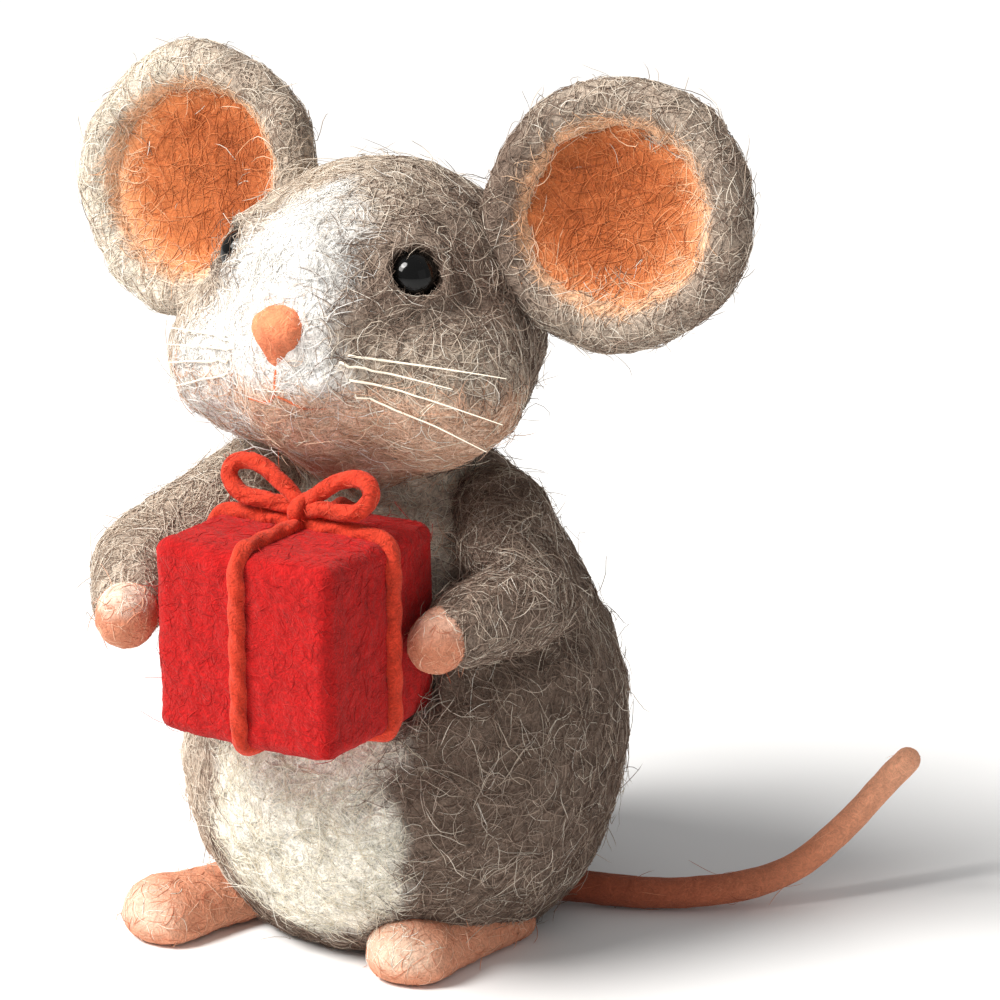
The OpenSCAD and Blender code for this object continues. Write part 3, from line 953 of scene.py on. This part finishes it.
def torso_wools(p):
    """Weights of coat, beige, cream and blush wool on the body, with painted light on the lit right front and
    painted shade along the bottom.
    """
    wander = 1.1 * lumps(p, 3.5)
    front = step_up(-p[:, 1], 6, 13)
    oval = np.sqrt(((p[:, 0] - 1.5) / 14.0) ** 2 + ((p[:, 2] - 18) / 15.5) ** 2) * 14.0
    cream = front * (1 - step_up(oval + wander, 11.5, 15.5))
    bib = front * step_up(p[:, 2], 24, 30) * (1 - step_up(np.abs(p[:, 0] - 1.0) + wander, 9, 14))
    cream = np.maximum(cream, bib)
    throat = step_up(p[:, 2], 46, 51) * step_up(-p[:, 1], -4, 4) * (1 - step_up(np.abs(p[:, 0]), 9, 14))
    cream = cream * (1 - throat)
    rest = np.clip(1 - cream - throat, 0, 1)
    # Painted light: the pale beige share rises on the lit right (-x) front of the body.
    pale = 0.16 + 0.8 * step_up(-p[:, 0], 6, 20) * step_up(-p[:, 1], -4, 8)
    # Painted shade: less pale wool along the bottom, where the body meets the floor.
    low = 1 - step_up(p[:, 2], 1, 6)
    pale = pale * (1 - 0.8 * low)
    return [rest * (1 - pale), rest * pale + throat * 0.4, cream + throat * 0.4, throat * 0.2]


TORSO_WOOLS = ("coat", "beige", "cream", "blush_and_reflection")


def ear_wools(ear):
    """Weights of coat, beige, cream and peach wool on an ear."""
    def weights(p):
        rho, w, _ = ear.local(p)
        warm = step_up(w, -0.5, 1.0) * (1 - step_up(rho, ear.ring - 2.6, ear.ring - 1.2))
        x = p[:, 0] - ear.centre[0]
        # Painted light and shade: the right ear, on the lit side, is mostly pale beige with cream towards its
        # outer edge. The left ear, on the shaded side, is darker, most of all next to the head.
        if ear.out < 0:
            pale = 0.95 - 0.3 * step_up(x + 0.5 * (p[:, 2] - ear.centre[2]), 4, 16)
            cream = 0.45 * step_up(-x, -6, 8)
        else:
            pale = 0.55 - 0.45 * step_up(-x, 4, 14) - 0.2 * step_up(x, 6, 15)
            cream = np.zeros(len(p))
        rim = 1 - warm
        return [rim * (1 - pale), rim * pale * (1 - cream), rim * pale * cream, warm * 0.9]
    return weights


EAR_WOOLS = ("coat", "beige", "cream", "peach")


def sleeve_wools(p):
    """Weights of coat and beige wool on the sleeves, with more beige towards the lit right (-x) side as
    painted light.
    """
    pale = 0.22 + 0.5 * step_up(-p[:, 0], 0, 15) + 0.1 * lumps(p, 4.0)
    pale = np.clip(pale, 0.1, 0.9)
    return [1 - pale, pale]


SLEEVE_WOOLS = ("coat", "beige")
PINK_WOOLS = ("pink", "cream")


# ---------------------------------------------------------------- pieces

SKIN = {"coat": wool_skin("wool_skin", 0.5), "smooth": wool_skin("smooth_wool_skin", 0.22),
        "felt": wool_skin("red_felt_skin", 0.3), "yarn": wool_skin("yarn_skin", 0.3)}


def flat_colour(wool, level):
    return lambda p: np.repeat(base_colour(wool, level)[None], len(p), axis=0)


def one_way(way):
    return lambda p: way


def skin_piece(name, points, faces, colour, kind="coat"):
    return make_object(name, points, faces, [SKIN[kind]], colours=np.clip(colour(points), 0, 1))


def region_colour(weights, wools, levels):
    return lambda p: mixed_colour(weights(p), wools, levels)


def dress(piece, body=None, nodes=(), blend=None):
    """Parents a piece to the empty of the body that it moves with, or, for a piece given a blend, only bakes
    its place into its points; then hides the CAD nodes that it stands for.
    """
    if blend:
        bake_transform(piece)
    else:
        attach(piece, body)
    if nodes:
        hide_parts(*nodes)


# Body.
torso_skin = star_skin(torso_field, [0, 2, 30], 7)
colour = region_colour(torso_wools, TORSO_WOOLS, (0.22, 0.35, 0.8, 0.5))
torso = skin_piece("torso_wool", *torso_skin, colour)
dress(torso, "torso", ("torso_coat", "belly_patch"))


def clear_of_gift(p):
    clear = block(p, GIFT, GIFT_HALF, 1.0) > 0.7
    return clear * (p[:, 2] > 0.5) * (ball(p, NECK, 10.0) > 0) * 1.0


for i in (1, 2):
    fibres = add_fibres("torso_fibres_{}".format(i), torso_field, torso_skin, 6400, TORSO_WOOLS, torso_wools,
                        length=7.5, lift=0.35, curl=0.42, loose=0.10, keep=clear_of_gift)
    dress(fibres, "torso")

# Feet.
for side in SIDES:
    field = foot_field(side)
    heel, toe = foot_line(side)
    skin = star_skin(field, (heel + toe) / 2 + [0, 0, 0.6], 6, 30)

    def foot_weights(p, heel=heel, toe=toe):
        t = share_along(p, heel, toe)
        pale = 0.6 * step_up(t, 0.9, 1.3) * step_up(p[:, 2], 1.0, 4.0)
        return [1 - pale, pale]

    colour = region_colour(foot_weights, PINK_WOOLS, (0.5, 0.2))
    foot = skin_piece(side + "_foot_wool", *skin, colour, "smooth")
    dress(foot, "torso", (side + "_foot",))
    fibres = add_fibres(side + "_foot_fibres", field, skin, 900, PINK_WOOLS, foot_weights,
                        length=4.0, lift=0.12, curl=0.4, loose=0.03, radius=0.045,
                        keep=lambda p: (p[:, 2] > 0.5) * 1.0)
    dress(fibres, "torso")

# Neck.
neck_skin = star_skin(neck_field, NECK, 6, 20)
colour = region_colour(torso_wools, TORSO_WOOLS, (0.25, 0.4, 0.5, 0.5))
neck = skin_piece("neck_wool", *neck_skin, colour)
dress(neck, "neck", ("neck_ball",))
fibres = add_fibres("neck_fibres", neck_field, neck_skin, 900, TORSO_WOOLS, torso_wools, length=6, lift=0.3,
                    keep=lambda p: ((torso_field(p) > -0.8) & (head_field(p) > -0.8)) * 1.0)
dress(fibres, "neck")

# Head.
head_skin = star_skin(head_field, SKULL + [0, -2, 0], 7)
colour = region_colour(head_wools, HEAD_WOOLS, (0.3, 0.5, 0.95, 0.8, 0.6))
head = skin_piece("head_wool", *head_skin, colour)
dress(head, "head", ("head_coat", "face_patch"))


def clear_of_face(p):
    """No fibres over the eyes and nose, and fewer on the white wool."""
    ok = np.ones(len(p))
    for eye in EYES.values():
        ok *= ball(p, eye, EYE_R + 0.15) > 0
    ok *= nose_field(p) > 0.1
    white = head_wools(p)[2]
    return ok * (1 - 0.25 * white)


def head_way(p):
    """The wool of the face is brushed back from the nose."""
    way = p - NOSE
    return way / np.linalg.norm(way, axis=1)[:, None]


for i in (1, 2):
    fibres = add_fibres("head_fibres_{}".format(i), head_field, head_skin, 6400, HEAD_WOOLS, head_wools,
                        length=7.0, lift=0.28, curl=0.36, keep=clear_of_face, along=head_way, comb=0.35)
    dress(fibres, "head")

# Nose, mouth and eyes.
nose_skin = star_skin(nose_field, NOSE, 6, 12)
# Painted light and shade: the nose's skin is paler on top and towards its lit right (-x) side, and darker
# below.
nose = skin_piece("nose_wool", *nose_skin, lambda p: base_colour("nose", 0.45)[None] * (
    0.75 + 0.5 * step_up(p[:, 2] - NOSE[2] - 0.4 * p[:, 0], -3, 3))[:, None], "smooth")
dress(nose, "head", ("nose",))
# Painted light: the nose fibres are paler on top and towards the lit right (-x) side.
fibres = add_fibres("nose_fibres", nose_field, nose_skin, 420, ("nose",), None,
                    length=2.4, lift=0.08, curl=0.5, loose=0.02, radius=0.04,
                    bright=lambda p: 0.25 * step_up(p[:, 2] - NOSE[2] - 0.5 * p[:, 0], -2, 3) - 0.15)
dress(fibres, "head")

mouth_parts = []
for route in (((0, 0, -3.9), (0, 0.6, -5.4), (0, 1.0, -6.4)),
              ((0, 1.0, -6.2), (1.6, 1.3, -7.2), (3.4, 2.0, -7.5), (4.6, 2.8, -7.4)),
              ((0, 1.0, -6.2), (-1.6, 1.3, -7.2), (-3.4, 2.0, -7.5), (-4.6, 2.8, -7.4))):
    line = curve_points([NOSE + r for r in route], 6)
    line = settle(head_field, line, 4)
    line = line - 0.05 * gradient(head_field, line)
    taper = 0.20 * np.minimum(1, 0.35 + 1.6 * np.linspace(1, 0, len(line)))
    mouth_parts.append(sweep(line, taper, 8))
mouth = skin_piece("mouth_line", *join(mouth_parts), flat_colour("nose", 0.3), "smooth")
dress(mouth, "head", ("mouth_stitches",))

# Whiskers.
WHISKER_FAN = ((1.0, 8, 0), (0.7, 4, 4), (1.0, 6, 11), (0.95, 4, 19))
WHISKER_L = 21.0
WHISKER_ROOT = 3.0
whisker_material, whisker_tree, whisker_shader = node_material("whisker_bristle", 0.35, 0.0)
whisker_shader.inputs["Base Color"].default_value = (*linear(250, 240, 220), 1)
add_bump(whisker_tree, whisker_shader, ((3000, 2, 0),), 0.15, 0.0001)
for side, sign in (("left", 1), ("right", -1)):
    parts = []
    for i, (part, back, droop) in enumerate(WHISKER_FAN):
        b, d = math.radians(back), math.radians(droop)
        way = np.array([math.cos(b) * math.cos(d), math.sin(b) * math.cos(d), -math.sin(d)])
        t = np.linspace(0, 1, 18)[:, None]
        root = NOSE + [6.3, 2.4 + 0.3 * i, -2.1 - 0.7 * i]
        sag = t * t * np.array([0, 0.3, -0.8 + 0.25 * i])
        line = root - [WHISKER_ROOT, 0, 0] + (part * WHISKER_L + WHISKER_ROOT) * t * way + sag
        line = line * [sign, 1, 1]
        outside = np.maximum(0, 0.35 - head_field(line)) * (t[:, 0] > 0.15)
        line = line + outside[:, None] * gradient(head_field, line)
        parts.append(sweep(line, 0.17 * (1 - 0.8 * t[:, 0]) + 0.02, 8))
    whiskers = make_object(side + "_whisker_bristles", *join(parts), [whisker_material])
    dress(whiskers, "head", (side + "_whiskers",))

# Ears.
for side in SIDES:
    ear = Ear(side)
    skin = ear.skin()
    weights = ear_wools(ear)
    colour = region_colour(weights, EAR_WOOLS, (0.3, 0.5, 0.7, 0.4))
    piece = skin_piece(side + "_ear_wool", *skin, colour)
    dress(piece, "head", (side + "_ear",))

    def round_ear(p, ear=ear):
        """Round the rim."""
        _, _, angle = ear.local(p)
        return -np.sin(angle)[:, None] * ear.across + np.cos(angle)[:, None] * ear.up

    fibres = add_fibres(side + "_ear_fibres", ear.field, skin, 3600, EAR_WOOLS, weights,
                        length=6.0, lift=0.3, curl=0.4, loose=0.10, along=round_ear, comb=0.5,
                        keep=lambda p: (head_field(p) > -0.5) * (ear.lining_field(p) > -0.3) * 1.0)
    dress(fibres, "head")
    lining_skin = ear.lining()

    def lining_level(p, ear=ear):
        rho, _, _ = ear.local(p)
        q = (p - ear.centre)
        outer = (q[:, 0] * ear.out * 0.7 - q[:, 2] * 0.45) / ear.r
        return 0.30 + 0.36 * outer + 0.46 * step_up(rho, ear.ring * 0.45, ear.ring - 1.0)

    def lining_colour(p):
        return shades("orange", np.clip(lining_level(p) - 0.05, 0, 0.99))

    def above_lining(p, ear=ear):
        return ((p - ear.centre) @ ear.normal > -ear.cup(ear.local(p)[0]) + 0.3) * 1.0

    lining = skin_piece(side + "_ear_lining_wool", *lining_skin, lining_colour, "smooth")
    dress(lining, "head", (side + "_ear_lining",))
    fibres = add_fibres(side + "_ear_lining_fibres", ear.lining_field, lining_skin, 1500, ("orange",), None,
                        length=6.5, lift=0.15, curl=0.35, loose=0.03, radius=0.045, spread=0.35,
                        bright=lambda p: lining_level(p) - 0.45, keep=above_lining)
    dress(fibres, "head")

# Arms.
ARM_STEPS = 7
ARM_AT = (0, 0.2, 0.45, 0.65, 0.85, 1.0)
ARM_R = (5.4, 5.9, 5.7, 5.3, 4.9, 4.3)
for side in SIDES:
    s, e, h = SHOULDER[side], ELBOW[side], HAND[side]
    u, v = unit(e - s), unit(h - e)
    wrist = e + (h - e) * 0.80
    inside = s + unit(CHEST - s) * 4.5
    knots = [inside, s, s + (e - s) * 0.55, e + (u - v) * 0.6, e + (h - e) * 0.45, wrist]
    path = curve_points(knots, ARM_STEPS)
    radii = np.interp(np.linspace(0, 1, len(path)), ARM_AT, ARM_R)
    field = tube_field(path, radii, 0.8)
    cut = 2 * ARM_STEPS
    names = (side + "_upper_arm", side + "_forearm")
    blends = (("torso", names[0], s - 3 * u, s + 4 * u), (names[0], names[1], e - 3.5 * u, e + 3.5 * v))
    for part, (i, j) in enumerate(((0, cut), (cut, len(path) - 1))):
        points, faces = stretch(path, radii, i, j, 4, 48)
        points = settle(field, points, 2)
        name = names[part] + "_wool"
        sleeve = skin_piece(name, points, faces, region_colour(sleeve_wools, SLEEVE_WOOLS, (0.25, 0.4)))
        dress(sleeve, blend=blends[part], nodes=(names[part],))
        fibres = add_fibres(names[part] + "_fibres", field, (points, faces), 2000, SLEEVE_WOOLS, sleeve_wools,
                            length=6.5, lift=0.32, curl=0.4, along=one_way(v if part else u), comb=0.4,
                            keep=lambda p: (torso_field(p) > -0.4) * 1.0)
        dress(fibres, blend=blends[part])
    field = hand_field(side)
    skin = star_skin(field, h, 6, 14)

    def hand_weights(p, h=h):
        # Painted shade: the left hand, on the shaded side, gets much less of the pale wool that lies towards
        # the top of each hand.
        share = 0.25 if h[0] > 0 else 0.6
        pale = share * step_up(p[:, 2] - h[2] + 0.5 * lumps(p, 1.5), -0.5, 3.0)
        return [1 - pale, pale]

    colour = region_colour(hand_weights, PINK_WOOLS, (0.35, 0.5))
    hand = skin_piece(side + "_hand_wool", *skin, colour, "smooth")
    dress(hand, names[1], (side + "_hand",))
    fibres = add_fibres(side + "_hand_fibres", field, skin, 600, PINK_WOOLS, hand_weights,
                        length=3.0, lift=0.1, curl=0.5, loose=0.03, radius=0.045)
    dress(fibres, names[1])

# Tail.
tail_path = curve_points([TAIL[0] - unit(TAIL[1] - TAIL[0]) * 3, *TAIL], 12)
tail_radii = np.interp(np.linspace(0, 1, len(tail_path)), [0, 0.3, 1], [2.3, 2.1, 1.65])
tail_field = tube_field(tail_path, tail_radii, 0.25)
TAIL_BODIES = ("torso", "tail_base", "tail_middle", "tail_end")
cuts = (0, 18, 30, len(tail_path) - 1)


def tail_level(p):
    t = np.clip(share_along(p, TAIL[0], TAIL[3]), 0, 1)
    return 0.18 + 0.81 * t ** 0.9


def tail_colour(p):
    return shades("tail", tail_level(p))


for part in range(3):
    i, j = cuts[part], cuts[part + 1]
    at = TAIL[part]
    before = unit(at - (TAIL[part - 1] if part else tail_path[0]))
    after = unit(TAIL[part + 1] - at)
    reach = (2.0, 4.0, 4.0)[part]
    blend = (TAIL_BODIES[part], TAIL_BODIES[part + 1], at - reach * before, at + reach * after)
    points, faces = stretch(tail_path, tail_radii, i, j, 3, 28)
    points = settle(tail_field, points, 1)
    points[:, 2] = np.maximum(points[:, 2], 0.05)
    name = TAIL_BODIES[part + 1]
    piece = skin_piece(name + "_wool", points, faces, tail_colour, "smooth")
    dress(piece, blend=blend, nodes=(name,))
    fibres = add_fibres(name + "_fibres", tail_field, (points, faces), 420, ("tail",), None,
                        length=5.0, lift=0.05, curl=0.15, loose=0.01, radius=0.04, spread=0.5,
                        along=one_way(after), comb=0.6, bright=lambda p: tail_level(p) - 0.5)
    dress(fibres, blend=blend)

# Gift.
gift_skin = star_skin(gift_field, GIFT, 7, 40)
gift = skin_piece("gift_felt", *gift_skin, flat_colour("red", 0.45), "felt")
dress(gift, "gift", ("gift_wrap",))
fibres = add_fibres("gift_fibres", gift_field, gift_skin, 3600, ("red",), None,
                    length=3.6, lift=0.10, loose=0.04, radius=0.04, bright=lambda p: -0.06)
dress(fibres, "gift")


PLY_R = YARN_R * 0.97
YARN_SIDES = 18


def yarn_tube(path, closed, twist=1.5):
    """Three-ply yarn: a tube whose section has three soft lobes that turn along it."""
    points, faces = sweep(path, PLY_R, YARN_SIDES, closed)
    rows = len(points) // YARN_SIDES
    ringed = rows * YARN_SIDES
    body = points[:ringed].reshape(rows, YARN_SIDES, 3)
    middle = body.mean(axis=1)
    run = np.concatenate([[0], np.cumsum(np.linalg.norm(np.diff(middle, axis=0), axis=1))])
    if closed:
        turns = max(1, round(run[-1] * twist / (2 * math.pi)))
        twist = turns * 2 * math.pi / (run[-1] + np.linalg.norm(middle[-1] - middle[0]))
    phase = 3 * np.arange(YARN_SIDES) * 2 * math.pi / YARN_SIDES
    lobe = 1 + 0.10 * np.cos(phase[None, :] + twist * run[:, None])
    body = middle[:, None] + (body - middle[:, None]) * lobe[..., None]
    return np.vstack([body.reshape(-1, 3), points[ringed:]]), faces


def round_gift(w, h, count=300, corner=2.6):
    """Points round a w by h rectangle with round corners, evenly spaced, as (count, 2)."""
    edges = []
    for cx, cz, start in ((1, 1, 0), (-1, 1, 90), (-1, -1, 180), (1, -1, 270)):
        for a in np.radians(np.linspace(start, start + 90, 13)):
            edges.append((cx * (w - corner) + corner * math.cos(a), cz * (h - corner) + corner * math.sin(a)))
    edges = np.array(edges + edges[:1])
    run = np.concatenate([[0], np.cumsum(np.linalg.norm(np.diff(edges, axis=0), axis=1))])
    t = np.linspace(0, run[-1], count, endpoint=False)
    return np.stack([np.interp(t, run, edges[:, 0]), np.interp(t, run, edges[:, 1])], axis=1)


def yarn_piece(name, path, closed, node, fuzz=500):
    points, faces = yarn_tube(path, closed)
    piece = skin_piece(name, points, faces, flat_colour("yarn", 0.45), "yarn")
    dress(piece, "gift", (node,))
    nodes_on = path if not closed else np.vstack([path, path[:1]])
    coarse = nodes_on[::3] if len(nodes_on) > 60 else nodes_on
    if closed:
        coarse = np.vstack([coarse, nodes_on[-1:]])

    def field(p):
        return path_field(p, coarse, np.full(len(coarse), PLY_R))

    fibres = add_fibres(name + "_fuzz", field, (points, faces), fuzz, ("yarn",), None,
                        length=3.0, lift=0.10, curl=0.35, radius=0.04)
    dress(fibres, "gift")


STAND = 0.35 * YARN_R
ring = round_gift(GIFT_HALF[1] + STAND, GIFT_HALF[2] + STAND)
route = np.column_stack([np.full(len(ring), GIFT[0]), GIFT[1] + ring[:, 0], GIFT[2] + ring[:, 1]])
yarn_piece("yarn_front_to_back", route, True, "ribbon_front_to_back")
ring = round_gift(GIFT_HALF[0] + STAND, GIFT_HALF[2] + STAND)
hump = 0.9 * np.exp(-(ring[:, 0] / 1.6) ** 2) * (ring[:, 1] < 0)
route = np.column_stack([GIFT[0] + ring[:, 0], np.full(len(ring), KNOT[1]), GIFT[2] + ring[:, 1] - hump])
yarn_piece("yarn_side_to_side", route, True, "ribbon_side_to_side")
turn = np.linspace(0, 2 * math.pi, 48, endpoint=False)
route = KNOT + np.column_stack([0.25 * np.sin(turn), 1.15 * np.cos(turn), 0.95 * np.sin(turn)])
yarn_piece("bow_wrap", route, True, "bow_knot", 60)
LOOP = ((0.2, 0, -0.2), (3.6, -0.5, -0.6), (7.6, -0.8, -1.6), (10.2, -0.5, -0.7),
        (10.4, 0, 1.2), (8.2, 0.5, 2.3), (4.2, 0.4, 1.8), (0.2, 0, 0.3))
rise = math.radians(18)
for side, sign in (("left", 1), ("right", -1)):
    loop = curve_points(LOOP, 10)
    loop = np.column_stack([loop[:, 0] * math.cos(rise) - loop[:, 2] * math.sin(rise), loop[:, 1],
                            loop[:, 0] * math.sin(rise) + loop[:, 2] * math.cos(rise)])
    yarn_piece(side + "_bow_yarn", KNOT + loop * [sign, 1, 1], False, side + "_bow_loop", 200)

# What the CAD made whole: glass eyes, wires and cores.
glass, glass_tree, glass_shader = node_material("black_glass", 0.08, 0.0)
glass_shader.inputs["Base Color"].default_value = (0.002, 0.002, 0.002, 1)
glass_shader.inputs["Specular IOR Level"].default_value = 0.3
add_bump(glass_tree, glass_shader, ((400, 2, 0),), 0.02, 0.0001)
core = tinted("core_wool", (0.62, 0.52, 0.40), 600, 0.25, 0.95, 0.5)
wood = tinted("gift_block_wood", (0.58, 0.44, 0.27), 250, 0.2, 0.6, 0.2)
steel = tinted("steel_wire", (0.55, 0.55, 0.56), 900, 0.1, 0.3, 0.1, 1.0)
FINISHES = {"_eye": glass, "_wire": steel, "_core": core, "gift_block": wood}
for name, obj in frame["nodes"].items():
    for ending, finish in FINISHES.items():
        if name.endswith(ending):
            for slot in obj.material_slots:
                slot.material = finish
